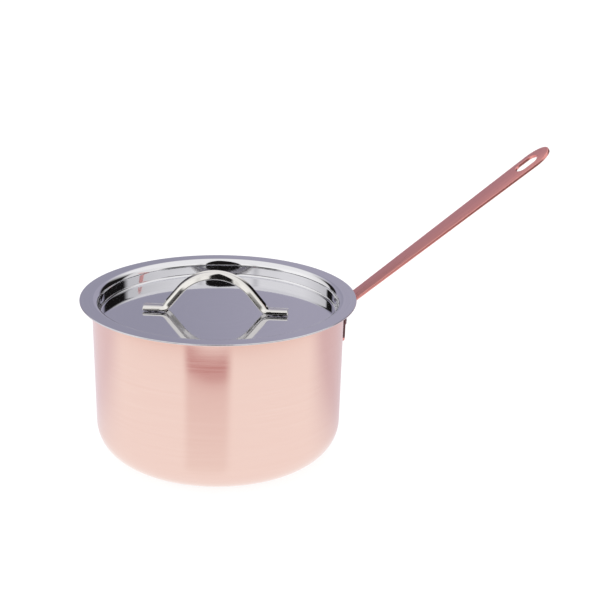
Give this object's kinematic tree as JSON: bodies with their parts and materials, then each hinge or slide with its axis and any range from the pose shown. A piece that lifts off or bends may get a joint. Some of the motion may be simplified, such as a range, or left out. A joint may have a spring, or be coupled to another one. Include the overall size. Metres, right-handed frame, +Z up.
{
  "type": "lidded saucepan",
  "caption": "Round copper saucepan with a straight wall and rounded base corner, a rising flat bar handle with a hanging slot, and a dished steel lid with an arched strap handle.",
  "frame": {"origin": "centre of the flat underside of the base, on the pan's round axis", "axes": "+Z up along the pan's round axis, +X outwards along the pan handle"},
  "size_m": [0.3133, 0.1808, 0.1996],
  "materials": {
    "brushed_copper": "copper, brushed in fine rings round the pan, satin sheen",
    "core_aluminium": "bare aluminium, seen only as a line in the rim",
    "satin_steel": "stainless steel, satin, fine circular brushing",
    "handle_copper": "copper plated bar, dull satin, brushed along its length",
    "rivet_steel": "stainless steel rivet, smooth satin head",
    "polished_steel": "stainless steel, mirror polished, faint circular polishing lines",
    "weld_steel": "stainless steel weld metal, dull grey"
  },
  "bodies": {
    "pan": {"copper_shell": "brushed_copper", "aluminium_core": "core_aluminium", "steel_lining": "satin_steel", "pan_handle": "handle_copper", "rivet_near": "rivet_steel", "rivet_far": "rivet_steel", "rivet_low": "rivet_steel"},
    "lid": {"lid_pressing": "polished_steel", "lid_handle": "polished_steel", "weld_left_outer": "weld_steel", "weld_left_inner": "weld_steel", "weld_right_inner": "weld_steel", "weld_right_outer": "weld_steel"}
  },
  "joints": [
    {"name": "lid_lift", "type": "slide", "parent": "pan", "child": "lid", "axis": [0, 0, 1], "range_m": [0, 0.12]}
  ]
}
